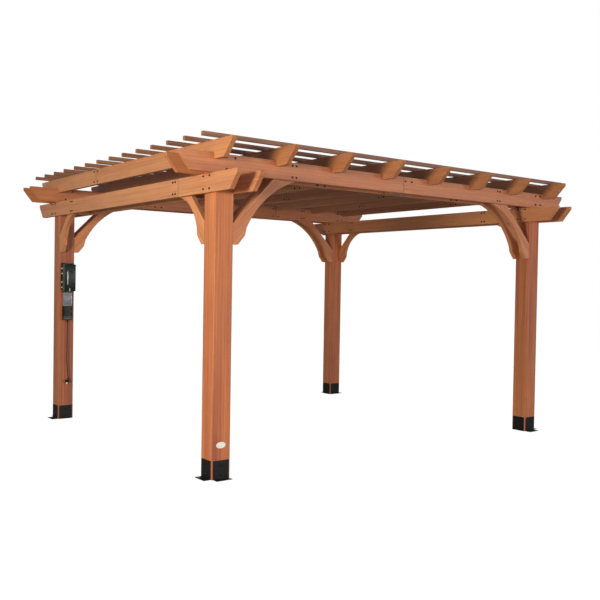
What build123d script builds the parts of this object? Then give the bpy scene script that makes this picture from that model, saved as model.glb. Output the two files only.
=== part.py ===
from build123d import *
import math
import os

os.makedirs("parts", exist_ok=True)

# Timber sizes
post_width = 150
post_chamfer = 3
board_thickness = 36
board_depth = 134
slat_width = 30
slat_height = 30

# Layout of the frame, with overhangs measured from the post centres
header_underside = 2026
header_length = 3796
beam_length = 4267
header_overhang = 410
beam_overhang = 379.5
rafter_setback = 69
slat_overhang = 142

# Undercut ends of the boards
nose_height = 25
header_undercut = 93
beam_undercut = 87
rafter_undercut = 110

# Rafters and slats
rafter_count = 8
notch_depth = 42
notch_clearance = 0.3
slat_count = 14
slat_setback_front = 140
slat_setback_back = 210

# Levels that follow from the sizes above
beam_underside = header_underside + board_depth
beam_top = beam_underside + board_depth
rafter_underside = beam_top - notch_depth
rafter_top = rafter_underside + board_depth

# Places of the posts and faces of the boards that follow from the layout
half_post = post_width / 2
half_x = beam_length / 2 - beam_overhang
half_y = header_length / 2 - header_overhang
outer_x = half_x + half_post + board_thickness
rafter_length = header_length - 2 * rafter_setback
slat_length = 2 * (outer_x + slat_overhang)


def save(shape, name):
    export_step(shape, os.path.join("parts", name + ".step"))


def board_outline(length, depth, undercut):
    half = length / 2
    return [
        (-half, depth),
        (half, depth),
        (half, depth - nose_height),
        (half - undercut, 0),
        (undercut - half, 0),
        (-half, depth - nose_height),
    ]


def along_x(points, thickness):
    # Outline in X and Z, from Y = 0 to Y = thickness
    face = make_face(Polyline(*[(x, 0, z) for x, z in points], close=True))
    return extrude(face, amount=thickness, dir=(0, 1, 0))


def along_y(points, thickness):
    # Outline in Y and Z, from X = 0 to X = thickness
    face = make_face(Polyline(*[(0, y, z) for y, z in points], close=True))
    return extrude(face, amount=thickness, dir=(1, 0, 0))


# Posts, standing on the ground between the paired boards
corners = {
    "front_left": (-1, -1),
    "back_left": (-1, 1),
    "back_right": (1, 1),
    "front_right": (1, -1),
}
post = Box(post_width, post_width, beam_top, align=(Align.CENTER, Align.CENTER, Align.MIN))
post = chamfer(post.edges().filter_by(Axis.Z), post_chamfer)
for corner, (side_x, side_y) in corners.items():
    save(Pos(side_x * half_x, side_y * half_y) * post, "post_" + corner)

# Foot plates, a bent steel angle on each outer face of a post and a flat plate on each inner face
plate_width = 128
plate_height = 134
plate_reach = 56
plate_thickness = 4
plate_bend = 6
bolt_hole = 10
anchor_spacing = 80
anchor_setback = 22

leg_back = half_post
leg_front = half_post + plate_thickness
plate_tip = half_post + plate_reach
inner_bend = plate_bend - plate_thickness
plate_profile = Polyline(
    (leg_back, 0, plate_height),
    (leg_front, 0, plate_height),
    (leg_front, 0, plate_thickness),
    (plate_tip, 0, plate_thickness),
    (plate_tip, 0, 0),
    (leg_back, 0, 0),
    close=True,
)
angle_plate = extrude(make_face(plate_profile), amount=plate_width, dir=(0, 1, 0))
angle_plate = Pos(0, -plate_width / 2) * angle_plate
inner_edge = angle_plate.edges().filter_by(Axis.Y).sort_by_distance((leg_front, 0, plate_thickness))[0]
angle_plate = fillet(inner_edge, inner_bend)
outer_edge = angle_plate.edges().filter_by(Axis.Y).sort_by_distance((leg_back, 0, 0))[0]
angle_plate = fillet(outer_edge, plate_bend)
for side in (-1, 1):
    anchor_place = Pos(plate_tip - anchor_setback, side * anchor_spacing / 2)
    angle_plate -= anchor_place * Cylinder(bolt_hole / 2, 3 * plate_thickness)
flat_plate = Box(
    plate_thickness,
    plate_width,
    plate_height,
    align=(Align.MIN, Align.CENTER, Align.MIN),
)
flat_plate = Pos(half_post, 0) * flat_plate
for corner, (side_x, side_y) in corners.items():
    middle = Pos(side_x * half_x, side_y * half_y)
    outward = (0 if side_x > 0 else 180, 90 if side_y > 0 else -90)
    plates = [middle * Rot(0, 0, turn) * angle_plate for turn in outward]
    plates += [middle * Rot(0, 0, turn + 180) * flat_plate for turn in outward]
    save(Compound(children=plates), "foot_plates_" + corner)

# Headers, a pair of boards clasping the posts on each side
board_outside = half_post + board_thickness
header_board = along_y(board_outline(header_length, board_depth, header_undercut), board_thickness)
for name, side in (("header_left", -1), ("header_right", 1)):
    middle = Pos(side * half_x, 0, header_underside)
    boards = [middle * Pos(place, 0) * header_board for place in (-board_outside, half_post)]
    save(Compound(children=boards), name)

# Beams, a pair of boards clasping the posts at front and back, resting on the headers
beam_board = along_x(board_outline(beam_length, board_depth, beam_undercut), board_thickness)
beam_places = []
for name, side in (("beam_front", -1), ("beam_back", 1)):
    places = (side * half_y - board_outside, side * half_y + half_post)
    boards = [Pos(0, place, beam_underside) * beam_board for place in places]
    save(Compound(children=boards), name)
    beam_places += places

# Rafters, notched over all four beam boards
rafter = along_y(board_outline(rafter_length, board_depth, rafter_undercut), board_thickness)
notch_width = board_thickness + 2 * notch_clearance
for place in beam_places:
    notch = Box(3 * board_thickness, notch_width, 2 * notch_depth)
    rafter -= Pos(0, place + board_thickness / 2, 0) * notch
rafter_pitch = (2 * outer_x - board_thickness) / (rafter_count - 1)
for number in range(rafter_count):
    place = -outer_x + number * rafter_pitch
    save(Pos(place, 0, rafter_underside) * rafter, "rafter_" + str(number + 1))

# Roof slats, laid across the rafters from front to back
slat = Box(slat_length, slat_width, slat_height, align=(Align.CENTER, Align.MIN, Align.MIN))
slat_run = rafter_length - slat_setback_front - slat_setback_back - slat_width
slat_pitch = slat_run / (slat_count - 1)
for number in range(slat_count):
    place = slat_setback_front - rafter_length / 2 + number * slat_pitch
    save(Pos(0, place, rafter_top) * slat, "roof_slat_" + str(number + 1).zfill(2))

# Knee braces, with their upper ends hidden between the paired boards
brace_drop = 358
brace_foot = header_underside - brace_drop
foot_chamfer = (101, 69)
side_brace_reach = 407
side_brace_tip = 363
front_brace_reach = 536
front_brace_tip = 486


def brace(foot_flat, heel_top, shin, belly, reach, tip, top, along):
    # Outline out from the post face and up from the brace foot
    top_start = top - heel_top
    lines = [
        Polyline((reach, tip), (reach, top), (top_start, top), (0, heel_top), (0, 0)),
        Polyline((0, 0), (foot_flat, 0), foot_chamfer, shin),
        ThreePointArc(shin, belly, (reach, tip)),
    ]
    return along * extrude(make_face(lines), amount=board_thickness)


beam_brace = brace(
    foot_flat=43,
    heel_top=150,
    shin=(115, 126),
    belly=(288, 349),
    reach=front_brace_reach,
    tip=front_brace_tip,
    top=beam_top - brace_foot,
    along=Pos(0, board_thickness / 2) * Rot(90, 0, 0),
)
header_brace = brace(
    foot_flat=41,
    heel_top=165,
    shin=(106, 122),
    belly=(218, 291),
    reach=side_brace_reach,
    tip=side_brace_tip,
    top=header_underside + board_depth - brace_foot,
    along=Pos(0, board_thickness / 2) * Rot(90, 0, 0),
)
board_inset = half_post - board_thickness / 2
for corner, (side_x, side_y) in corners.items():
    middle = Pos(side_x * half_x, side_y * half_y, brace_foot)
    to_middle_x = Rot(0, 0, 0 if side_x < 0 else 180)
    to_middle_y = Rot(0, 0, 90 if side_y < 0 else -90)
    braces = [
        middle * Pos(0, -board_inset) * to_middle_x * Pos(half_post, 0) * beam_brace,
        middle * Pos(0, board_inset) * to_middle_x * Pos(half_post, 0) * beam_brace,
        middle * Pos(side_x * board_inset, 0) * to_middle_y * Pos(half_post, 0) * header_brace,
    ]
    save(Compound(children=braces), "braces_" + corner)

# Packing blocks between the paired boards
beam_block_length = 200
header_block_length = 110
beam_block = Box(
    beam_block_length,
    post_width,
    board_depth,
    align=(Align.CENTER, Align.CENTER, Align.MIN),
)
beam_blocks = [Pos(0, side * half_y, beam_underside) * beam_block for side in (-1, 1)]
save(Compound(children=beam_blocks), "beam_packing_blocks")
header_block = Box(
    post_width - board_thickness,
    header_block_length,
    board_depth,
    align=(Align.CENTER, Align.CENTER, Align.MIN),
)
header_block_x = half_x - board_thickness / 2
header_block_y = half_y - half_post - side_brace_reach + header_block_length / 2
header_blocks = [
    Pos(side_x * header_block_x, side_y * header_block_y, header_underside) * header_block
    for side_x, side_y in corners.values()
]
save(Compound(children=header_blocks), "header_packing_blocks")

# Power unit on the front face of the back left post
unit_x = -half_x
unit_back = half_y - half_post
unit_drop = 108
lower_height = 139
panel_height = 136
upper_height = 292
lower_width = 88
panel_width = 88
upper_width = 92
lower_depth = 57
panel_depth = 35
upper_depth = 75
lower_corner = 18
upper_corner = 6
flange_width = 122
flange_height = 268
flange_thickness = 6
door_width = 82
door_height = 200
door_thickness = 4
rib_count = 5
rib_gap = 7
rib_cut = 4
gland_length = 25
gland_top_width = 18
gland_tip_width = 11
unit_base = brace_foot - unit_drop - upper_height - panel_height - lower_height


def housing(width, depth, height, base, corner_radius):
    # Block against the post face, with its two front corners rounded
    shape = Box(width, depth, height, align=(Align.CENTER, Align.MAX, Align.MIN))
    upright = shape.edges().filter_by(Axis.Z)
    shape = fillet(upright.group_by(Axis.Y)[0], corner_radius)
    return Pos(unit_x, unit_back, base) * shape


lower_housing = housing(lower_width, lower_depth, lower_height, unit_base, lower_corner)
lower_core = Pos(0, rib_cut, 0) * lower_housing
rib_pitch = lower_height / (rib_count + 1)
for number in range(rib_count):
    level = unit_base + (number + 1) * rib_pitch
    slice_box = Pos(unit_x, unit_back, level) * Box(2 * lower_width, 4 * lower_depth, rib_gap)
    lower_housing -= slice_box - lower_core
gland = Cone(
    gland_tip_width / 2,
    gland_top_width / 2,
    gland_length,
    align=(Align.CENTER, Align.CENTER, Align.MAX),
)
lower_housing += Pos(unit_x, unit_back - lower_depth / 2, unit_base) * gland
save(lower_housing, "power_unit_lower_housing")
panel_base = unit_base + lower_height
panel = housing(panel_width, panel_depth, panel_height, panel_base, upper_corner)
save(panel, "power_unit_panel")
upper_base = panel_base + panel_height
upper_box = housing(upper_width, upper_depth, upper_height, upper_base, upper_corner)
flange_base = upper_base + upper_height - flange_height
upper_box += housing(flange_width, flange_thickness, flange_height, flange_base, flange_thickness / 2)
door_depth = upper_depth + door_thickness
upper_box += housing(door_width, door_depth, door_height, upper_base, door_thickness)
save(upper_box, "power_unit_upper_box")

# Cord hanging from the power unit, and its angled plug
cord_diameter = 8
cord_y = unit_back - lower_depth / 2
cord_points = [
    (unit_x, cord_y, unit_base - gland_length),
    (unit_x, cord_y, unit_base - 234),
    (unit_x - 5, cord_y, unit_base - 421),
    (unit_x + 13, cord_y, unit_base - 580),
]
runs = [math.dist(a, b) for a, b in zip(cord_points, cord_points[1:])]
cord_radii = []
for index in range(1, len(cord_points) - 1):
    before = Vector(*cord_points[index]) - Vector(*cord_points[index - 1])
    after = Vector(*cord_points[index + 1]) - Vector(*cord_points[index])
    half_turn = math.radians(before.get_angle(after)) / 2
    cord_radii.append(0.45 * min(runs[index - 1], runs[index]) / math.tan(half_turn))
print("cord radii", [round(radius) for radius in cord_radii])
cord_route = FilletPolyline(*cord_points, radius=cord_radii)
cord_section = Plane(origin=cord_points[0], z_dir=cord_route % 0) * Circle(cord_diameter / 2)
cord = sweep(cord_section, path=cord_route)
print("cord length", round(cord_route.length, 1))
print("cord volume ratio", cord.volume / (math.pi * cord_diameter**2 / 4 * cord_route.length))
save(cord, "power_cord")

plug_neck_length = 22
plug_neck_width = 11
plug_length = 38
plug_width = 22
plug_height = 26
plug_shift = 10
plug_round = 4
blade_length = 17
blade_width = 6.5
blade_thickness = 1.6
blade_spacing = 12.7
blade_out = 18

plug_plane = Plane(origin=cord_route @ 1, x_dir=(1, 0, 0), z_dir=cord_route % 1)
neck_ends = [Circle(plug_neck_width / 2), Pos(0, 0, plug_neck_length) * Circle(plug_width / 2 - 2)]
plug = loft(neck_ends)
plug_body = Box(plug_length, plug_width, plug_height, align=(Align.CENTER, Align.CENTER, Align.MIN))
plug_body = fillet(plug_body.edges(), plug_round)
plug += Pos(-plug_shift, 0, plug_neck_length - plug_round) * plug_body
blade_middle = plug_neck_length - plug_round + plug_height + blade_length / 2 - 1
for side in (-1, 1):
    blade = Box(blade_width, blade_thickness, blade_length + 2)
    plug += Pos(-blade_out, side * blade_spacing / 2, blade_middle) * blade
save(plug_plane * plug, "power_plug")
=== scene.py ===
import bmesh
import bpy
import math
from mathutils import Matrix, Vector


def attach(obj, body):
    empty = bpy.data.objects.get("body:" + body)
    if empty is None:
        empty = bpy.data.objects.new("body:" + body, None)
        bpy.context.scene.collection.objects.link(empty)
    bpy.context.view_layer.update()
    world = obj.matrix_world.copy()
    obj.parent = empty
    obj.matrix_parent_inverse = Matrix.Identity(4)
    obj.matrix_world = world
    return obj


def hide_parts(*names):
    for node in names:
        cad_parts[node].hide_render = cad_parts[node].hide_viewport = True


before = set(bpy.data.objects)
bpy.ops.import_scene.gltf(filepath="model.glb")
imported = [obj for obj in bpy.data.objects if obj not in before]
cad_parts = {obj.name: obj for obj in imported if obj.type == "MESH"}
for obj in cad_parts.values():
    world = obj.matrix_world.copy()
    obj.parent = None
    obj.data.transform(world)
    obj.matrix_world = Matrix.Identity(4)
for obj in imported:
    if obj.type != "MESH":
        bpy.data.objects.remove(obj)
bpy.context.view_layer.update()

# STAINED TIMBER
# The whole frame is planed softwood in a thin warm stain. Long fibres, bands of tone and a
# few small knots show through it, cut ends drink more stain, and sharp edges wear paler.
# The posts are redder and more orange, the boards and rafters nearer to tan.
RED_TONES = (
    (0.0, (0.190, 0.060, 0.030)),
    (0.38, (0.400, 0.132, 0.068)),
    (0.68, (0.540, 0.190, 0.076)),
    (1.0, (0.660, 0.270, 0.098)),
)
TAN_TONES = (
    (0.0, (0.200, 0.076, 0.038)),
    (0.38, (0.400, 0.162, 0.082)),
    (0.68, (0.520, 0.232, 0.118)),
    (1.0, (0.630, 0.320, 0.170)),
)
WORN_EDGE = (0.640, 0.360, 0.210)
STAINED_KNOT = (0.110, 0.040, 0.022)
JOINT_SHADE = (0.035, 0.016, 0.010)
ROSY_BLUSH = (0.93, 0.84, 0.96)
DARK_END_GRAIN = (0.76, 0.68, 0.60)
PALE_END_GRAIN = (1.12, 1.05, 0.96)
NO_JOINT = 50.0  # past the end of every board


def add_node(tree, kind, **settings):
    """Adds a node, with its sockets set by name or number."""
    node = tree.nodes.new(kind)
    for name, value in settings.items():
        if name.startswith("in_"):
            key = name[3:]
            node.inputs[int(key) if key.isdigit() else key.replace("_", " ")].default_value = value
        else:
            setattr(node, name, value)
    return node


def feed(tree, socket, value):
    """Sets a socket to a number, a colour or another node's output."""
    if isinstance(value, (int, float)):
        socket.default_value = value
    elif isinstance(value, tuple):
        socket.default_value = (*value, 1.0) if len(socket.default_value) == 4 else value
    else:
        tree.links.new(value, socket)


def work_out(tree, how, first, second=0.0):
    """A Math node with each side given as a number or a socket."""
    node = add_node(tree, "ShaderNodeMath", operation=how)
    feed(tree, node.inputs[0], first)
    feed(tree, node.inputs[1], second)
    return node.outputs[0]


def spread(tree, value, low, high, to_low=0.0, to_high=1.0):
    """The value between low and high, carried to the range to_low to to_high."""
    node = add_node(tree, "ShaderNodeMapRange", in_1=low, in_2=high, in_3=to_low, in_4=to_high)
    tree.links.new(value, node.inputs[0])
    return node.outputs[0]


def tint(tree, share, first, second, how="MIX"):
    """A colour Mix node, each side given as a colour or a socket."""
    node = add_node(tree, "ShaderNodeMix", data_type="RGBA", blend_type=how)
    feed(tree, node.inputs[0], share)
    feed(tree, node.inputs[6], first)
    feed(tree, node.inputs[7], second)
    return node.outputs[2]


def weigh(tree, base, layers):
    """The base with each layer added in its weight."""
    for layer, weight in layers:
        base = work_out(tree, "ADD", base, work_out(tree, "MULTIPLY", layer, weight))
    return base


def stretched(tree, place, scale):
    """The place with each of its axes scaled."""
    node = add_node(tree, "ShaderNodeVectorMath", operation="MULTIPLY", in_1=scale)
    tree.links.new(place, node.inputs[0])
    return node.outputs[0]


def noise_at(tree, place, scale, size, detail=2.0, rough=0.5):
    """Noise on a place stretched by scale, so that its streaks run along the board."""
    noise = add_node(tree, "ShaderNodeTexNoise", in_Scale=size, in_Detail=detail, in_Roughness=rough)
    tree.links.new(stretched(tree, place, scale), noise.inputs["Vector"])
    return noise.outputs["Fac"]


def tone_ramp(tree, depth, tones):
    """A colour that runs through the tones as the depth grows."""
    ramp = tree.nodes.new("ShaderNodeValToRGB")
    steps = ramp.color_ramp.elements
    for index, (at, colour) in enumerate(tones):
        step = steps[index] if index < 2 else steps.new(at)
        step.position = at
        step.color = (*colour, 1.0)
    tree.links.new(depth, ramp.inputs[0])
    return ramp.outputs["Color"]


def make_board_grain():
    """Grain of a stained board whose length runs along the Z of the Place input."""
    group = bpy.data.node_groups.new("board grain", "ShaderNodeTree")
    face = group.interface
    for name, kind in (
        ("Place", "Vector"),
        ("Facing", "Vector"),
        ("Board", "Float"),
        ("Paleness", "Float"),
        ("Redness", "Float"),
        ("Banding", "Float"),
        ("Joint", "Float"),
        ("Edge", "Float"),
        ("Stain", "Color"),
    ):
        face.new_socket(name, in_out="INPUT", socket_type="NodeSocket" + kind)
    for name, kind in (("Colour", "Color"), ("Roughness", "Float"), ("Relief", "Float")):
        face.new_socket(name, in_out="OUTPUT", socket_type="NodeSocket" + kind)
    start = group.nodes.new("NodeGroupInput").outputs
    end = group.nodes.new("NodeGroupOutput").inputs
    # Past a butt joint the next board begins, with grain of its own
    along = add_node(group, "ShaderNodeSeparateXYZ")
    group.links.new(start["Place"], along.inputs[0])
    past = work_out(group, "GREATER_THAN", along.outputs[2], start["Joint"])
    board = work_out(group, "ADD", start["Board"], work_out(group, "MULTIPLY", past, 5.3))
    gap = work_out(group, "ABSOLUTE", work_out(group, "SUBTRACT", along.outputs[2], start["Joint"]))
    seam = spread(group, gap, 0.0012, 0.0032, 1.0, 0.0)
    shift = add_node(group, "ShaderNodeCombineXYZ")
    for index, step in enumerate((7.31, 3.17, 11.9)):
        group.links.new(work_out(group, "MULTIPLY", board, step), shift.inputs[index])
    moved = add_node(group, "ShaderNodeVectorMath", operation="ADD")
    group.links.new(start["Place"], moved.inputs[0])
    group.links.new(shift.outputs[0], moved.inputs[1])
    place = moved.outputs[0]
    # Growth rings run nearly straight along the board and drift a little from side to side
    drift = add_node(group, "ShaderNodeTexNoise", in_Scale=1.0, in_Detail=1.0)
    group.links.new(stretched(group, place, (1.5, 1.5, 0.6)), drift.inputs["Vector"])
    bent = add_node(group, "ShaderNodeVectorMath", operation="ADD")
    group.links.new(stretched(group, place, (1.0, 1.0, 0.004)), bent.inputs[0])
    group.links.new(stretched(group, drift.outputs["Color"], (0.05, 0.05, 0.0)), bent.inputs[1])
    rings = add_node(group, "ShaderNodeTexWave", wave_type="BANDS", bands_direction="DIAGONAL")
    for name, value in (("Scale", 26.0), ("Distortion", 3.0), ("Detail", 2.0), ("Detail Scale", 1.2)):
        rings.inputs[name].default_value = value
    group.links.new(bent.outputs[0], rings.inputs["Vector"])
    ring = spread(group, rings.outputs["Fac"], 0.1, 1.0)
    # Fine fibres, wider streaks and bands run the whole board, with soft clouds and blotches
    fibre = noise_at(group, place, (1.0, 1.0, 0.018), size=190.0, detail=3.0, rough=0.6)
    streak = noise_at(group, place, (1.0, 1.0, 0.018), size=52.0, detail=2.0, rough=0.5)
    band = noise_at(group, place, (1.0, 1.0, 0.03), size=9.0, detail=1.0, rough=0.5)
    cloud = noise_at(group, place, (1.0, 1.0, 0.4), size=2.6, detail=2.0, rough=0.5)
    blotch = noise_at(group, place, (1.0, 1.0, 0.55), size=13.0, detail=3.0, rough=0.6)
    # A sparse scatter of small knots, drawn out a little along the board
    cells = add_node(group, "ShaderNodeTexVoronoi", feature="F1", in_Scale=2.6, in_Randomness=1.0)
    group.links.new(stretched(group, place, (1.0, 1.0, 0.6)), cells.inputs["Vector"])
    knot = spread(group, cells.outputs["Distance"], 0.022, 0.045, 1.0, 0.0)
    halo = spread(group, cells.outputs["Distance"], 0.03, 0.13, 1.0, 0.0)
    banding = start["Banding"]
    banded = work_out(group, "MULTIPLY", spread(group, band, 0.30, 0.70, -0.5, 0.5), banding)
    streaked = work_out(group, "MULTIPLY", spread(group, streak, 0.30, 0.70, -0.5, 0.5), banding)
    layers = (
        (fibre, 0.62),
        (banded, 0.45),
        (streaked, 0.44),
        (ring, 0.07),
        (cloud, 0.18),
        (blotch, 0.22),
        (halo, -0.08),
    )
    tone = weigh(group, -0.04, layers)
    # Faces that look along X are painted paler and more orange, painted warm light on that pair of sides,
    # and the others stay redder
    facing = add_node(group, "ShaderNodeSeparateXYZ")
    group.links.new(start["Facing"], facing.inputs[0])
    painted_warm_side = spread(group, work_out(group, "ABSOLUTE", facing.outputs[0]), 0.5, 0.9)
    redness = weigh(group, start["Redness"], ((painted_warm_side, -0.35),))
    paleness = weigh(group, start["Paleness"], ((painted_warm_side, 0.10),))
    depth = work_out(group, "ADD", tone, paleness)
    tan = tone_ramp(group, depth, TAN_TONES)
    red = tone_ramp(group, depth, RED_TONES)
    colour = tint(group, redness, tan, red)
    blush = spread(group, noise_at(group, place, (1.0, 1.0, 0.06), size=11.0, detail=1.0), 0.40, 0.62)
    colour = tint(group, work_out(group, "MULTIPLY", blush, 0.5), colour, ROSY_BLUSH, "MULTIPLY")
    colour = tint(group, 1.0, colour, start["Stain"], "MULTIPLY")
    colour = tint(group, work_out(group, "MULTIPLY", knot, 0.8), colour, STAINED_KNOT)
    # Cut ends face along the board and show dark rings instead of fibres
    cut_end = spread(group, work_out(group, "ABSOLUTE", facing.outputs[2]), 0.45, 0.80)
    end_noise = noise_at(group, place, (1.0, 1.0, 1.0), size=90.0, detail=2.0, rough=0.6)
    end_colour = tint(group, spread(group, end_noise, 0.3, 0.7), DARK_END_GRAIN, PALE_END_GRAIN)
    colour = tint(group, cut_end, colour, tint(group, 1.0, colour, end_colour, "MULTIPLY"))
    # Worn arrises, broken up by noise, and the dark line of the joint
    scuffs = noise_at(group, place, (1.0, 1.0, 0.3), size=30.0, detail=3.0, rough=0.7)
    edge = spread(group, start["Edge"], 0.02, 0.22, 0.0, 0.42)
    wear = work_out(group, "MULTIPLY", edge, spread(group, scuffs, 0.35, 0.60))
    colour = tint(group, wear, colour, WORN_EDGE)
    colour = tint(group, work_out(group, "MULTIPLY", seam, 0.85), colour, JOINT_SHADE)
    group.links.new(colour, end["Colour"])
    shine = weigh(group, 0.34, ((fibre, 0.24), (cloud, 0.20), (cut_end, 0.15)))
    group.links.new(shine, end["Roughness"])
    relief = weigh(group, 0.0, ((fibre, 0.6), (ring, 0.2), (knot, -0.4), (seam, -1.5)))
    group.links.new(relief, end["Relief"])
    return group


board_grain = make_board_grain()
QUARTER = math.radians(90)
TURN_TO_LENGTH = {"X": (0.0, -QUARTER, 0.0), "Y": (QUARTER, 0.0, 0.0), "Z": (0.0, 0.0, 0.0)}


def edge_mask(tree, reach):
    """How far the surface turns within reach of an edge, and the eased normal there."""
    eased = add_node(tree, "ShaderNodeBevel", samples=4, in_Radius=reach)
    flat = tree.nodes.new("ShaderNodeNewGeometry")
    match = add_node(tree, "ShaderNodeVectorMath", operation="DOT_PRODUCT")
    tree.links.new(eased.outputs[0], match.inputs[0])
    tree.links.new(flat.outputs["True Normal"], match.inputs[1])
    return work_out(tree, "SUBTRACT", 1.0, match.outputs["Value"]), eased.outputs[0]


def turned(tree, socket, kind, turn):
    """A place or a facing, turned so that the length of the board lies along Z."""
    node = add_node(tree, "ShaderNodeMapping", vector_type=kind, in_Rotation=turn)
    tree.links.new(socket, node.inputs["Vector"])
    return node.outputs[0]


def chosen(tree, is_second, first, second):
    """The first vector, or the second where told."""
    node = add_node(tree, "ShaderNodeMix", data_type="VECTOR")
    tree.links.new(is_second, node.inputs[0])
    tree.links.new(first, node.inputs[4])
    tree.links.new(second, node.inputs[5])
    return node.outputs[1]


def timber(name, turn, board, redness, paleness, banding, stain, joint=NO_JOINT, second=None):
    """Stained timber whose length the turn lays along Z. second is the turn or the joint
    of the other boards on the node, with the axis and the distance past which they lie."""
    material = bpy.data.materials.new(name)
    material.use_nodes = True
    tree = material.node_tree
    shader = tree.nodes["Principled BSDF"]
    spot = tree.nodes.new("ShaderNodeTexCoord")
    place = turned(tree, spot.outputs["Object"], "POINT", turn)
    facing = turned(tree, spot.outputs["Normal"], "NORMAL", turn)
    grain = tree.nodes.new("ShaderNodeGroup")
    grain.node_tree = board_grain
    joint_at = joint
    if second:
        axis, distance, other = second
        parts = tree.nodes.new("ShaderNodeSeparateXYZ")
        tree.links.new(spot.outputs["Object"], parts.inputs[0])
        far_out = work_out(tree, "ABSOLUTE", parts.outputs["XYZ".index(axis)])
        is_other = work_out(tree, "GREATER_THAN", far_out, distance)
        if isinstance(other, tuple):
            other_place = turned(tree, spot.outputs["Object"], "POINT", other)
            other_facing = turned(tree, spot.outputs["Normal"], "NORMAL", other)
            place = chosen(tree, is_other, place, other_place)
            facing = chosen(tree, is_other, facing, other_facing)
        else:
            joint_at = spread(tree, is_other, 0.0, 1.0, joint, other)
    edge, eased = edge_mask(tree, 0.0035)
    for name, value in (
        ("Place", place),
        ("Facing", facing),
        ("Board", board),
        ("Paleness", paleness),
        ("Redness", redness),
        ("Banding", banding),
        ("Joint", joint_at),
        ("Edge", edge),
        ("Stain", stain),
    ):
        feed(tree, grain.inputs[name], value)
    tree.links.new(grain.outputs["Colour"], shader.inputs["Base Color"])
    tree.links.new(grain.outputs["Roughness"], shader.inputs["Roughness"])
    bump = add_node(tree, "ShaderNodeBump", in_Strength=0.35, in_Distance=0.0012)
    tree.links.new(grain.outputs["Relief"], bump.inputs["Height"])
    tree.links.new(eased, bump.inputs["Normal"])
    tree.links.new(bump.outputs[0], shader.inputs["Normal"])
    shader.inputs["Specular IOR Level"].default_value = 0.3
    return material


def dress(node, material):
    """Gives a CAD node its finish."""
    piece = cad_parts[node]
    piece.data.materials.clear()
    piece.data.materials.append(material)


# POSTS
# Four square sawn posts with lightly eased corners, standing on the ground and clasped by
# the boards above. Straight bands of orange and red heartwood run up each face.
HALF_POST = 0.075
POST_X = 1.754
POST_Y = 1.488
CORNERS = {"front_left": (-1, -1), "back_left": (-1, 1), "back_right": (1, 1), "front_right": (1, -1)}
POST_STAINS = ((1.13, 1.07, 1.09), (0.86, 0.84, 0.97), (1.10, 1.05, 1.04), (1.02, 0.95, 0.95))
for index, corner in enumerate(CORNERS):
    post_timber = timber(
        "post " + corner.replace("_", " "),
        TURN_TO_LENGTH["Z"],
        board=1.3 + index,
        redness=1.0,
        paleness=0.0,
        banding=0.8,
        stain=POST_STAINS[index],
    )
    dress("post_" + corner, post_timber)

# HEADERS AND BEAMS
# Pairs of boards screwed through to the posts, the headers at the sides and the beams across
# them at front and back. Long boards are butted end to end over the packing blocks, at
# different places in the two boards of a pair. Every end is undercut with a saw.
BOARD = 0.036
BOARD_DEPTH = 0.134
HEADER_Z = 2.026
BEAM_Z = HEADER_Z + BOARD_DEPTH
HEADER_STAIN = (1.24, 1.31, 1.34)
BEAM_STAIN = (1.25, 1.26, 1.32)
HEADER_JOINT = 1.084
BEAM_INNER_JOINT = 0.770
BEAM_OUTER_JOINT = -0.040
for name, board, redness, paleness in (("left", 5.7, 0.12, 0.03), ("right", 6.9, 0.45, -0.02)):
    header_timber = timber(
        name + " header",
        TURN_TO_LENGTH["Y"],
        board,
        redness,
        paleness,
        banding=0.30,
        stain=HEADER_STAIN,
        joint=HEADER_JOINT,
        second=("X", POST_X, -HEADER_JOINT),
    )
    dress("header_" + name, header_timber)
for name, board, redness, paleness in (("front", 9.9, 0.35, 0.02), ("back", 11.3, 0.35, 0.0)):
    beam_timber = timber(
        name + " beam",
        TURN_TO_LENGTH["X"],
        board,
        redness,
        paleness,
        banding=0.35,
        stain=BEAM_STAIN,
        joint=BEAM_INNER_JOINT,
        second=("Y", POST_Y, BEAM_OUTER_JOINT),
    )
    dress("beam_" + name, beam_timber)
for place, axis, board, stain in (("beam", "X", 14.2, BEAM_STAIN), ("header", "Y", 15.1, HEADER_STAIN)):
    packing_timber = timber(
        place + " packing",
        TURN_TO_LENGTH[axis],
        board,
        redness=0.4,
        paleness=-0.05,
        banding=1.0,
        stain=stain,
    )
    dress(place + "_packing_blocks", packing_timber)

# RAFTERS
# Eight rafters notched over the beams, each butted from two lengths, by turns behind and
# in front of the middle so that the joints do not line up.
RAFTER_COUNT = 8
RAFTER_OUT = POST_X + HALF_POST + BOARD
RAFTER_PITCH = (2 * RAFTER_OUT - BOARD) / (RAFTER_COUNT - 1)
RAFTER_JOINT = 0.445
# The left rafter, whose outer face takes the light, gets the paler tan of the boards; the seven inside it
# are painted darker, painted shade under the roof
LIT_LEFT_RAFTER_TONE = (1.21, 1.27, 1.28)
SHADED_RAFTER_TONE = (1.05, 1.05, 1.00)
NOTCH_DEPTH = 0.042
RAFTER_TOP = BEAM_Z + BOARD_DEPTH - NOTCH_DEPTH + BOARD_DEPTH
for number in range(RAFTER_COUNT):
    paleness = 0.05 * math.sin(2.4 * number + 1.0)
    joint = -RAFTER_JOINT if number % 2 else RAFTER_JOINT
    rafter_timber = timber(
        f"rafter {number + 1}",
        TURN_TO_LENGTH["Y"],
        board=16.4 + number,
        redness=0.15,
        paleness=paleness,
        banding=0.35,
        stain=SHADED_RAFTER_TONE if number else LIT_LEFT_RAFTER_TONE,
        joint=joint,
    )
    dress(f"rafter_{number + 1}", rafter_timber)

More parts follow.
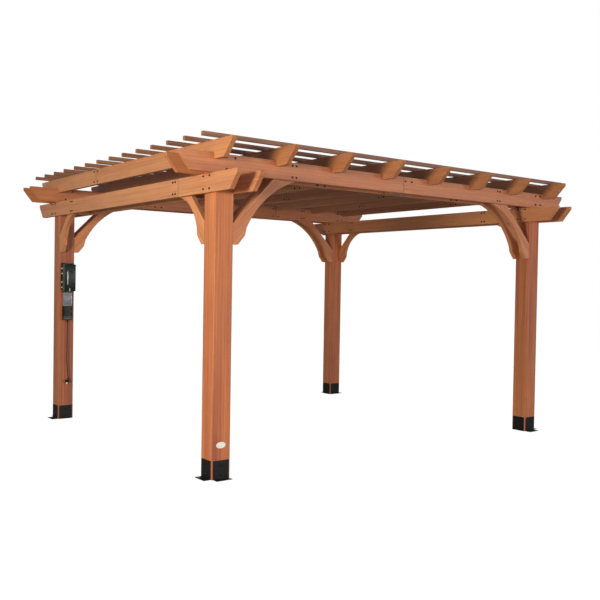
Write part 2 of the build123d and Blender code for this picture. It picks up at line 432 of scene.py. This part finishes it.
# ROOF SLATS
# Fourteen square softwood slats laid across the rafters to break the sun. Each is held down
# by a small screw at every rafter.
SLAT_COUNT = 14
SLAT_STAIN = (0.72, 0.94, 1.22)
for number in range(SLAT_COUNT):
    paleness = 0.07 * math.sin(1.9 * number)
    slat_timber = timber(
        f"slat {number + 1}",
        TURN_TO_LENGTH["X"],
        board=25.8 + number,
        redness=0.4,
        paleness=paleness,
        banding=0.5,
        stain=SLAT_STAIN,
    )
    dress(f"roof_slat_{number + 1:02d}", slat_timber)

# KNEE BRACES
# Sawn from wide boards with a hollow belly, a pair to each beam and one to each header. The
# grain follows their slope, so it turns with the side that the brace is on.
SLOPE = math.radians(45)
BRACE_STAIN = (1.28, 1.26, 1.22)
for index, (corner, (side_x, side_y)) in enumerate(CORNERS.items()):
    brace_timber = timber(
        "brace " + corner.replace("_", " "),
        (0.0, SLOPE * side_x, 0.0),
        board=41.5 + index,
        redness=0.15,
        paleness=0.02,
        banding=0.5,
        stain=BRACE_STAIN,
        second=("X", POST_X - HALF_POST, (-SLOPE * side_y, 0.0, 0.0)),
    )
    dress("braces_" + corner, brace_timber)

# SCREWS
# Dark bronze structural screws with a washer face under a six-sided head, driven in pairs
# through the boards into the posts, braces and packing blocks.
SCREW_PROFILE = (
    (0.0, -0.002, False),
    (0.0085, -0.002, False),
    (0.0085, 0.0010, False),
    (0.0078, 0.0020, False),
    (0.0058, 0.0022, True),
    (0.0058, 0.0052, True),
    (0.0046, 0.0062, True),
    (0.0024, 0.0062, False),
    (0.0020, 0.0046, False),
    (0.0, 0.0046, False),
)
SLAT_SCREW_PROFILE = (
    (0.0, -0.002, False),
    (0.0040, -0.002, False),
    (0.0042, 0.0003, False),
    (0.0036, 0.0007, False),
    (0.0014, 0.0007, False),
    (0.0010, -0.0002, False),
    (0.0, -0.0002, False),
)


def add_turned(build, profile, sides, matrix):
    """A closed turned form on the local Z axis. A profile point gives radius and height,
    and whether that ring is six-sided instead of round."""
    rings = []
    for radius, height, six_sided in profile:
        ring = []
        for step in range(sides if radius else 1):
            angle = 2 * math.pi * step / sides
            reach = radius
            if six_sided:
                reach /= math.cos((angle + math.pi / 6) % (math.pi / 3) - math.pi / 6)
            spot = Vector((reach * math.cos(angle), reach * math.sin(angle), height))
            ring.append(build.verts.new(matrix @ spot))
        rings.append(ring)
    for low, high in zip(rings, rings[1:]):
        for step in range(sides):
            ahead = (step + 1) % sides
            foot = (low[step % len(low)], low[ahead % len(low)])
            head = (high[ahead % len(high)], high[step % len(high)])
            build.faces.new(list(dict.fromkeys(foot + head)))


SHARP_ANGLE = math.radians(35)


def finish_piece(build, name, material):
    """Turns the built mesh into a piece that rides on the frame."""
    bmesh.ops.recalc_face_normals(build, faces=build.faces[:])
    mesh = bpy.data.meshes.new(name)
    build.to_mesh(mesh)
    build.free()
    for face in mesh.polygons:
        face.use_smooth = True
    mesh.set_sharp_from_angle(angle=SHARP_ANGLE)
    mesh.materials.append(material)
    piece = bpy.data.objects.new(name, mesh)
    bpy.context.scene.collection.objects.link(piece)
    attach(piece, "root")
    return piece


def coated(name, light, dark, rough, metallic, fineness=300.0, wear=None, reach=0.0015, specular=0.5):
    """A metal or moulded finish with mottled colour and gloss, and worn edges where told."""
    material = bpy.data.materials.new(name)
    material.use_nodes = True
    tree = material.node_tree
    shader = tree.nodes["Principled BSDF"]
    spot = tree.nodes.new("ShaderNodeTexCoord")
    fine = noise_at(tree, spot.outputs["Object"], (1.0, 1.0, 1.0), fineness, detail=3.0, rough=0.6)
    broad = noise_at(tree, spot.outputs["Object"], (1.0, 1.0, 1.0), fineness / 12)
    colour = tint(tree, spread(tree, broad, 0.3, 0.7), dark, light)
    bump = add_node(tree, "ShaderNodeBump", in_Strength=0.2, in_Distance=0.0003)
    if wear:
        edge, eased = edge_mask(tree, reach)
        rubbed = work_out(tree, "MULTIPLY", spread(tree, edge, 0.02, 0.25), spread(tree, fine, 0.4, 0.6))
        colour = tint(tree, work_out(tree, "MULTIPLY", rubbed, 0.6), colour, wear)
        tree.links.new(eased, bump.inputs["Normal"])
    tree.links.new(colour, shader.inputs["Base Color"])
    gloss = spread(tree, fine, 0.3, 0.7, rough * 0.8, rough * 1.2)
    tree.links.new(gloss, shader.inputs["Roughness"])
    tree.links.new(fine, bump.inputs["Height"])
    tree.links.new(bump.outputs[0], shader.inputs["Normal"])
    shader.inputs["Metallic"].default_value = metallic
    shader.inputs["Specular IOR Level"].default_value = specular
    return material


bronze = coated(
    "dark bronze screw",
    light=(0.060, 0.045, 0.038),
    dark=(0.028, 0.020, 0.018),
    rough=0.42,
    metallic=0.6,
)
UP = Vector((0, 0, 1))


def screws(name, spots, facing, profile=SCREW_PROFILE, sides=24, material=bronze):
    """One piece with a screw head at each spot, all facing the same way."""
    build = bmesh.new()
    turn = UP.rotation_difference(Vector(facing)).to_matrix().to_4x4()
    for number, spot in enumerate(spots):
        twist = Matrix.Rotation(1.7 * number, 4, "Z")
        add_turned(build, profile, sides, Matrix.Translation(spot) @ turn @ twist)
    return finish_piece(build, name, material)


HEADER_ROWS = (HEADER_Z + 0.026, HEADER_Z + 0.117)
BRACE_TIP_ROWS = (HEADER_Z + 0.025, HEADER_Z + 0.113)
BEAM_ROWS = (BEAM_Z + 0.030, BEAM_Z + 0.112)
BEAM_TIP_ROWS = (BEAM_Z + 0.024, BEAM_Z + 0.110)
POST_STEP = 0.042
BEAM_POST_STEP = 0.036
PAIR_STEP = 0.018
JOINT_STEP = 0.037
HEADER_TIP = 1.022
BEAM_TIP = 1.172
FRONT_HEADER_SLIP = -0.008
FRONT_LEFT_BEAM_SLIP = 0.026
OUTER_JOINT_STEPS = (0.019, 0.090)
OUTER_JOINT_LEVEL = BEAM_Z + 0.098
HOLLOW_LEVEL = BEAM_Z + 0.014
for side_name, side in (("left", -1), ("right", 1)):
    for board_name, way in (("outer", side), ("inner", -side)):
        at_x = side * POST_X + way * (HALF_POST + BOARD)
        spots = []
        for end in (-1, 1):
            # The front four were driven a little further out
            slip = FRONT_HEADER_SLIP if end == -1 else 0.0
            for step in (-POST_STEP, POST_STEP):
                spots += [(at_x, end * POST_Y + slip + step, z) for z in HEADER_ROWS]
            for step in (-PAIR_STEP, PAIR_STEP):
                spots += [(at_x, end * HEADER_TIP + step, z) for z in BRACE_TIP_ROWS]
        screws(f"{side_name}_header_{board_name}_screws", spots, (way, 0, 0))
for side_name, side in (("front", -1), ("back", 1)):
    inner_joints = (-BEAM_INNER_JOINT, BEAM_INNER_JOINT)
    for board_name, way, joints in (("outer", side, (BEAM_OUTER_JOINT,)), ("inner", -side, inner_joints)):
        at_y = side * POST_Y + way * (HALF_POST + BOARD)
        spots = []
        for end in (-1, 1):
            # The four at the front left were driven a little nearer to the middle
            slip = FRONT_LEFT_BEAM_SLIP if (side, end) == (-1, -1) else 0.0
            for step in (-BEAM_POST_STEP, BEAM_POST_STEP):
                spots += [(end * POST_X + slip + step, at_y, z) for z in BEAM_ROWS]
            for step in (-PAIR_STEP, PAIR_STEP):
                spots += [(end * BEAM_TIP + step, at_y, z) for z in BEAM_TIP_ROWS]
        for joint in joints:
            if board_name == "outer":
                spots += [(joint + step, at_y, OUTER_JOINT_LEVEL) for step in OUTER_JOINT_STEPS]
            else:
                steps = (-JOINT_STEP, JOINT_STEP)
                spots += [(joint + step, at_y, z) for step in steps for z in BEAM_TIP_ROWS]
        screws(f"{side_name}_beam_{board_name}_screws", spots, (0, way, 0))
    # At the inner boards' joints two more are driven from the hollow between the boards
    hidden_y = side * (POST_Y - HALF_POST)
    steps = (-JOINT_STEP, JOINT_STEP)
    spots = [(joint + step, hidden_y, HOLLOW_LEVEL) for joint in inner_joints for step in steps]
    screws(f"{side_name}_beam_hollow_screws", spots, (0, side, 0))
SPLICE_ROWS = (RAFTER_TOP - 0.110, RAFTER_TOP - 0.020)
for number in range(RAFTER_COUNT):
    middle = -RAFTER_OUT + number * RAFTER_PITCH + BOARD / 2
    joint = -RAFTER_JOINT if number % 2 else RAFTER_JOINT
    for side_name, way in (("left", -1), ("right", 1)):
        at_x = middle + way * BOARD / 2
        spots = [(at_x, joint + step, z) for step in (-JOINT_STEP, JOINT_STEP) for z in SPLICE_ROWS]
        screws(f"rafter_{number + 1}_{side_name}_splice_screws", spots, (way, 0, 0))
SLAT = 0.030
RAFTER_END = 1.829
SLAT_SETBACK_FRONT = 0.140
SLAT_SETBACK_BACK = 0.210
SLAT_PITCH = (2 * RAFTER_END - SLAT_SETBACK_FRONT - SLAT_SETBACK_BACK - SLAT) / (SLAT_COUNT - 1)
slat_spots = []
for slat in range(SLAT_COUNT):
    at_y = SLAT_SETBACK_FRONT + SLAT / 2 - RAFTER_END + slat * SLAT_PITCH
    for rafter in range(RAFTER_COUNT):
        slat_spots.append((-RAFTER_OUT + rafter * RAFTER_PITCH + BOARD / 2, at_y, RAFTER_TOP + SLAT))
screws("slat_screws", slat_spots, (0, 0, 1), SLAT_SCREW_PROFILE, 12)

# FOOT PLATES
# Folded steel in a satin black powder coat, an angle on each outer face of a post and a flat
# plate on each inner face, each held by two coach screws with the same coat.
black_coat = coated(
    "black powder coat",
    light=(0.008, 0.008, 0.012),
    dark=(0.005, 0.005, 0.008),
    rough=0.46,
    metallic=0.0,
    fineness=500.0,
    wear=(0.050, 0.048, 0.054),
    specular=0.3,
)
for corner in CORNERS:
    dress("foot_plates_" + corner, black_coat)
PLATE_FACE = HALF_POST + 0.004
COACH_SCREW_LEVELS = (0.033, 0.098)
COACH_SCREW_PROFILE = (
    (0.0, -0.001, False),
    (0.0105, -0.001, False),
    (0.0105, 0.0012, False),
    (0.0098, 0.0018, False),
    (0.0065, 0.0020, True),
    (0.0065, 0.0066, True),
    (0.0050, 0.0078, True),
    (0.0, 0.0080, False),
)
FACES = {"right": (1, 0, 0), "left": (-1, 0, 0), "back": (0, 1, 0), "front": (0, -1, 0)}
for corner, (side_x, side_y) in CORNERS.items():
    for face_name, facing in FACES.items():
        centre = Vector((side_x * POST_X, side_y * POST_Y, 0)) + PLATE_FACE * Vector(facing)
        spots = [(centre.x, centre.y, z) for z in COACH_SCREW_LEVELS]
        screws(f"{corner}_post_{face_name}_coach_screws", spots, facing, COACH_SCREW_PROFILE, 24, black_coat)

# OVAL PLATE
# A small bare oval of pale metal low on the front left post, with a raised rim, held by the
# glue on its back.
OVAL_PROFILE = (
    (0.0, -0.0005, False),
    (1.0, -0.0005, False),
    (1.0, 0.0016, False),
    (0.95, 0.0022, False),
    (0.89, 0.0022, False),
    (0.86, 0.0013, False),
    (0.0, 0.0013, False),
)
OVAL_CENTRE = (-1.756, -POST_Y - HALF_POST, 0.242)
HALF_OVAL = (0.038, 0.0225, 1.0, 1.0)
pale_metal = coated(
    "pale brushed plate",
    light=(0.94, 0.98, 1.0),
    dark=(0.88, 0.93, 0.96),
    rough=0.42,
    metallic=0.0,
    fineness=260.0,
)
build = bmesh.new()
oval_place = Matrix.Translation(OVAL_CENTRE) @ Matrix.Rotation(QUARTER, 4, "X")
add_turned(build, OVAL_PROFILE, 48, oval_place @ Matrix.Diagonal(HALF_OVAL))
finish_piece(build, "oval_plate", pale_metal)

# POWER UNIT
# A black moulded box with a hinged cover over the outlets, a grey panel under it, and a ribbed
# lower housing that the cord leaves from. Zinc screws through the flange hold it to the post.
UNIT_X = -POST_X
UNIT_BACK = POST_Y - HALF_POST
UNIT_BASE = 0.993
black_moulding = coated(
    "black moulding",
    light=(0.007, 0.012, 0.012),
    dark=(0.004, 0.007, 0.007),
    rough=0.30,
    metallic=0.0,
    fineness=400.0,
    wear=(0.030, 0.036, 0.036),
    reach=0.002,
    specular=0.22,
)
grey_face = coated(
    "grey face",
    light=(0.225, 0.205, 0.225),
    dark=(0.190, 0.170, 0.188),
    rough=0.42,
    metallic=0.0,
    fineness=500.0,
)
blue_face = coated(
    "blue grey face",
    light=(0.160, 0.172, 0.260),
    dark=(0.132, 0.142, 0.220),
    rough=0.30,
    metallic=0.0,
    fineness=500.0,
)
# A light blue-grey for painted highlights and a painted reflection: a strip and a small block on the black
# cover and a strip down the panel's right edge
painted_highlight = coated(
    "painted highlight",
    light=(0.48, 0.58, 0.72),
    dark=(0.40, 0.50, 0.62),
    rough=0.30,
    metallic=0.2,
    fineness=500.0,
)
# A pale grey for painted highlight lines on the black lower housing
painted_rim_highlight = coated(
    "painted rim highlight",
    light=(0.170, 0.180, 0.190),
    dark=(0.130, 0.138, 0.146),
    rough=0.40,
    metallic=0.0,
    fineness=200.0,
)
# A dark grey for painted light on the left side of the black box
painted_lit_side = coated(
    "painted lit side grey",
    light=(0.100, 0.108, 0.106),
    dark=(0.080, 0.088, 0.086),
    rough=0.45,
    metallic=0.0,
    fineness=200.0,
)
zinc = coated(
    "bright zinc",
    light=(0.86, 0.93, 1.0),
    dark=(0.80, 0.87, 0.94),
    rough=0.35,
    metallic=0.10,
    fineness=300.0,
)
dress("power_unit_upper_box", black_moulding)
dress("power_unit_lower_housing", black_moulding)
dress("power_unit_panel", grey_face)


def add_block(build, centre, size, ease):
    """A block with every edge eased."""
    block = bmesh.ops.create_cube(build, size=1.0)["verts"]
    bmesh.ops.scale(build, vec=size, verts=block)
    bmesh.ops.translate(build, vec=centre, verts=block)
    edges = list({edge for vert in block for edge in vert.link_edges})
    bmesh.ops.bevel(build, geom=edges, offset=ease, segments=3, profile=0.5, affect="EDGES")


def unit_block(name, offset, size, ease, material):
    """An eased block whose centre is given from the middle of the unit's back, at its base."""
    build = bmesh.new()
    centre = Vector((UNIT_X, UNIT_BACK, UNIT_BASE)) + Vector(offset)
    add_block(build, centre, size, ease)
    return finish_piece(build, name, material)


COVER_DEPTH = 0.087
PANEL_DEPTH = 0.035
unit_block("outlet_cover", (0.0085, -0.062, 0.4205), (0.106, 0.046, 0.268), 0.008, black_moulding)
# A raised rib and a small latch on the cover, both coloured as painted highlights where the light catches
# the cover
unit_block("cover_rib_highlight", (-0.0225, -COVER_DEPTH, 0.419), (0.009, 0.007, 0.136), 0.003, painted_highlight)
unit_block("cover_latch_highlight", (-0.001, -COVER_DEPTH, 0.301), (0.010, 0.007, 0.034), 0.003, painted_highlight)
unit_block("cover_hinge", (0.0, 0.003 - COVER_DEPTH, 0.479), (0.070, 0.010, 0.008), 0.003, black_moulding)
# A thin grey plate over the box's left side face, painted light where that side catches the light from the
# left
unit_block("lit_side_plate", (-0.0465, -0.036, 0.421), (0.003, 0.052, 0.272), 0.001, painted_lit_side)
SCREEN_SIZE = (0.066, 0.005, 0.100)
PANEL_HIGHLIGHT_SIZE = (0.005, 0.005, 0.110)
unit_block("panel_screen", (-0.0045, -PANEL_DEPTH, 0.204), SCREEN_SIZE, 0.0015, blue_face)
# A strip down the right edge of the panel, coloured as a painted reflection
unit_block("panel_edge_highlight", (0.0365, -PANEL_DEPTH, 0.212), PANEL_HIGHLIGHT_SIZE, 0.002, painted_highlight)
FLANGE_SCREW_PROFILE = (
    (0.0, -0.001, False),
    (0.0072, -0.001, False),
    (0.0072, 0.0010, False),
    (0.0060, 0.0038, False),
    (0.0032, 0.0050, False),
    (0.0, 0.0052, False),
)
FLANGE_THICKNESS = 0.006
FLANGE_SCREW_OUT = 0.0515
FLANGE_SCREW_LEVELS = (0.513, 0.462, 0.376, 0.324)
flange_spots = []
for side in (-1, 1):
    at_x = UNIT_X + side * FLANGE_SCREW_OUT
    flange_spots += [(at_x, UNIT_BACK - FLANGE_THICKNESS, UNIT_BASE + rise) for rise in FLANGE_SCREW_LEVELS]
screws("flange_screws", flange_spots, (0, -1, 0), FLANGE_SCREW_PROFILE, 20, zinc)


def add_rim(build, centre, half_width, depth, corner, half_thickness, half_height):
    """A hoop round the sides and front of the housing, with rounded front corners."""
    path = [(-half_width, 0.0)]
    for side in (-1, 1):
        hub_x = side * (half_width - corner)
        for step in range(7):
            angle = (1.25 + 0.25 * side) * math.pi + QUARTER * step / 6
            path.append((hub_x + corner * math.cos(angle), corner - depth + corner * math.sin(angle)))
    path.append((half_width, 0.0))
    loops = []
    for index, spot in enumerate(path):
        before = Vector(path[max(index - 1, 0)])
        after = Vector(path[min(index + 1, len(path) - 1)])
        along = (after - before).normalized()
        out = Vector((along.y, -along.x))
        loop = []
        for push, rise in ((-1, -1), (1, -1), (1, 1), (-1, 1)):
            place = Vector(spot) + out * push * half_thickness
            loop.append(build.verts.new(Vector(centre) + Vector((place.x, place.y, rise * half_height))))
        loops.append(loop)
    for low, high in zip(loops, loops[1:]):
        for step in range(4):
            ahead = (step + 1) % 4
            build.faces.new((low[step], low[ahead], high[ahead], high[step]))
    build.faces.new(loops[0])
    build.faces.new(loops[-1][::-1])


# Two thin pale grey hoops round the base of the black housing, painted highlights along its rib edges
RIM_LEVELS = (0.012, 0.029)
build = bmesh.new()
for level in RIM_LEVELS:
    add_rim(
        build,
        centre=(UNIT_X, UNIT_BACK, UNIT_BASE + level),
        half_width=0.0445,
        depth=0.0575,
        corner=0.0185,
        half_thickness=0.0012,
        half_height=0.002,
    )
finish_piece(build, "housing_highlight_rims", painted_rim_highlight)

# CORD AND PLUG
# A round flexible cord in black rubber. It leaves the gland under the lower housing, hangs
# down the front of the post and ends in a moulded angled plug with two nickelled blades.
CORD_WIDTH = 0.008
CORD_Y = UNIT_BACK - 0.0285
CORD_ROUTE = (
    (UNIT_X, CORD_Y, UNIT_BASE - 0.025),
    (UNIT_X, CORD_Y, UNIT_BASE - 0.234),
    (UNIT_X - 0.005, CORD_Y, UNIT_BASE - 0.421),
    (UNIT_X + 0.013, CORD_Y, UNIT_BASE - 0.580),
)
sheath = coated(
    "black rubber",
    light=(0.009, 0.007, 0.007),
    dark=(0.006, 0.005, 0.005),
    rough=0.5,
    metallic=0.0,
    fineness=900.0,
    specular=0.25,
)
curve = bpy.data.curves.new("cord", "CURVE")
curve.dimensions = "3D"
curve.bevel_depth = CORD_WIDTH / 2
curve.bevel_resolution = 5
curve.use_fill_caps = True
line = curve.splines.new("NURBS")
line.points.add(len(CORD_ROUTE) - 1)
for point, place in zip(line.points, CORD_ROUTE):
    point.co = (*place, 1.0)
line.order_u = 3
line.use_endpoint_u = True
line.resolution_u = 16
curve.materials.append(sheath)
cord = bpy.data.objects.new("cord", curve)
bpy.context.scene.collection.objects.link(cord)
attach(cord, "root")
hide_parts("power_cord")
dress("power_plug", sheath)
cord_end = Vector(CORD_ROUTE[-1])
down = (cord_end - Vector(CORD_ROUTE[-2])).normalized()
across = (Vector((1, 0, 0)) - down * down.x).normalized()
plug_turn = Matrix((across, down.cross(across), down)).transposed().to_4x4()
BLADE_ACROSS = -0.018
BLADE_APART = 0.00635
BLADE_DOWN = 0.0515
BLADE_SIZE = (0.0069, 0.0020, 0.0194)
build = bmesh.new()
for side in (-1, 1):
    add_block(build, (BLADE_ACROSS, side * BLADE_APART, BLADE_DOWN), BLADE_SIZE, 0.0005)
build.transform(Matrix.Translation(cord_end) @ plug_turn)
blades = finish_piece(build, "plug_blades", zinc)

# FLOOR AND LIGHT
# A pale floor that reads white to the camera and keeps a soft shadow, an overcast dome,
# soft fills from the front, a warm wash from the left and a plain light on the far sides.
FLOOR_TONE = (0.32, 0.29, 0.26, 1.0)
FLOOR_WHITE = 1.17
FLOOR_WHITE_SHARE = 0.86
DOME_TONE = (0.56, 0.76, 1.0, 1.0)
DOME_STRENGTH = 0.26
WHITE = (1.0, 1.0, 1.0, 1.0)
ground = bpy.data.meshes.new("floor")
ground.from_pydata([(-40, -40, 0), (40, -40, 0), (40, 40, 0), (-40, 40, 0)], [], [(0, 1, 2, 3)])
floor = bpy.data.objects.new("floor", ground)
bpy.context.scene.collection.objects.link(floor)
floor_paint = bpy.data.materials.new("pale floor")
floor_paint.use_nodes = True
tree = floor_paint.node_tree
shader = tree.nodes["Principled BSDF"]
shader.inputs["Base Color"].default_value = FLOOR_TONE
shader.inputs["Roughness"].default_value = 0.9
light_path = tree.nodes.new("ShaderNodeLightPath")
seen = add_node(tree, "ShaderNodeEmission", in_Color=WHITE, in_Strength=FLOOR_WHITE)
blend = tree.nodes.new("ShaderNodeMixShader")
to_camera = work_out(tree, "MULTIPLY", light_path.outputs["Is Camera Ray"], FLOOR_WHITE_SHARE)
tree.links.new(to_camera, blend.inputs[0])
tree.links.new(shader.outputs[0], blend.inputs[1])
tree.links.new(seen.outputs[0], blend.inputs[2])
tree.links.new(blend.outputs[0], tree.nodes["Material Output"].inputs["Surface"])
ground.materials.append(floor_paint)

world = bpy.data.worlds.new("white room")
bpy.context.scene.world = world
world.use_nodes = True
tree = world.node_tree
air = tree.nodes["Background"]
air.inputs["Color"].default_value = DOME_TONE
air.inputs["Strength"].default_value = DOME_STRENGTH
white = add_node(tree, "ShaderNodeBackground", in_Color=WHITE, in_Strength=1.0)
light_path = tree.nodes.new("ShaderNodeLightPath")
blend = tree.nodes.new("ShaderNodeMixShader")
tree.links.new(light_path.outputs["Is Camera Ray"], blend.inputs[0])
tree.links.new(air.outputs[0], blend.inputs[1])
tree.links.new(white.outputs[0], blend.inputs[2])
tree.links.new(blend.outputs[0], tree.nodes["World Output"].inputs["Surface"])


def soft_lamp(name, place, aim, size, power, colour):
    """A round lamp turned towards its aim."""
    lamp = bpy.data.lights.new(name, "AREA")
    lamp.shape = "DISK"
    lamp.size = size
    lamp.energy = power
    lamp.color = colour
    holder = bpy.data.objects.new(name, lamp)
    bpy.context.scene.collection.objects.link(holder)
    holder.location = place
    holder.rotation_euler = (Vector(aim) - Vector(place)).to_track_quat("-Z", "Y").to_euler()


FRONT = (0.0, -1.0, 1.6)
LEFT = (-1.5, -1.0, 1.6)
soft_lamp("right fill", (5.5, -9.5, 2.0), FRONT, size=2.5, power=220, colour=(0.90, 1.0, 1.0))
soft_lamp("front fill", (1.0, -10.0, 1.7), FRONT, size=3.0, power=178, colour=(1.0, 0.83, 0.72))
soft_lamp("high wash", (-7.0, -4.0, 2.2), LEFT, size=1.4, power=170, colour=(1.0, 0.86, 0.54))
soft_lamp("low wash", (-7.0, -3.6, 1.85), LEFT, size=1.4, power=165, colour=(1.0, 0.85, 0.52))
soft_lamp("back light", (7.0, 8.5, 6.5), (0.3, 0.5, 1.9), size=3.0, power=620, colour=(1.0, 0.96, 0.92))
soft_lamp("back fill", (-6.0, 2.0, 2.4), (-1.5, 0.0, 1.6), size=2.0, power=20, colour=(0.80, 0.95, 1.0))

# CAMERA
# Stands to the front left at a little under head height. Its place and turn come from matching
# the corners and edges of the frame to the picture.
PLACE = (-4.7488, -6.4191, 1.4041)
HEADING = -0.6479
TILT = 0.0217
ROLL = 0.0166
view = bpy.data.cameras.new("view")
view.sensor_width = 36.0
view.lens = 48.23
camera = bpy.data.objects.new("view", view)
bpy.context.scene.collection.objects.link(camera)
heading = Matrix.Rotation(HEADING, 3, "Z")
tilt = Matrix.Rotation(QUARTER - TILT, 3, "X")
roll = Matrix.Rotation(ROLL, 3, "Z")
camera.matrix_world = Matrix.Translation(PLACE) @ (heading @ tilt @ roll).to_4x4()
bpy.context.scene.camera = camera
bpy.context.scene.view_settings.view_transform = "Standard"
